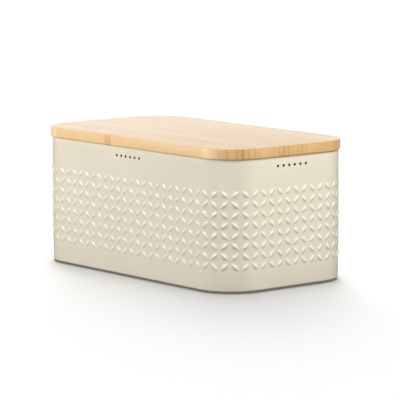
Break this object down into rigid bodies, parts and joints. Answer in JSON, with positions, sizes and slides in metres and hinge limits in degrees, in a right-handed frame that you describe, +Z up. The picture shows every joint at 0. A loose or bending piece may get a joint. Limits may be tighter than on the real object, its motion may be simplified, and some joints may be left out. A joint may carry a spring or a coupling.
{
  "type": "bread box",
  "caption": "Rounded rectangular sheet-steel bread box with an embossed band of petals and vent holes, closed by a flat lift-off bamboo lid.",
  "frame": {"origin": "on the table, under the middle of the box", "axes": "+X along the long sides, to the right seen from the front; +Z up; the front faces -Y"},
  "size_m": [0.3438, 0.1888, 0.1567],
  "materials": {
    "powder_coated_steel": "cream powder coat, satin",
    "bamboo": "sanded and oiled",
    "silicone": "matte",
    "foot_rubber": "matte"
  },
  "bodies": {
    "box": {"side_wall": "powder_coated_steel", "base_pan": "powder_coated_steel", "foot_front_left": "foot_rubber", "foot_front_right": "foot_rubber", "foot_back_left": "foot_rubber", "foot_back_right": "foot_rubber"},
    "lid": {"lid_strip_01": "bamboo", "lid_strip_02": "bamboo", "lid_strip_03": "bamboo", "lid_strip_04": "bamboo", "lid_strip_05": "bamboo", "lid_strip_06": "bamboo", "lid_strip_07": "bamboo", "lid_strip_08": "bamboo", "lid_strip_09": "bamboo", "lid_strip_10": "bamboo", "lid_strip_11": "bamboo", "lid_strip_12": "bamboo", "lid_strip_13": "bamboo", "lid_strip_14": "bamboo", "lid_gasket": "silicone"}
  },
  "joints": [
    {"name": "lid_lift", "type": "slide", "parent": "box", "child": "lid", "axis": [0, 0, 1], "range_m": [0, 0.16]}
  ]
}
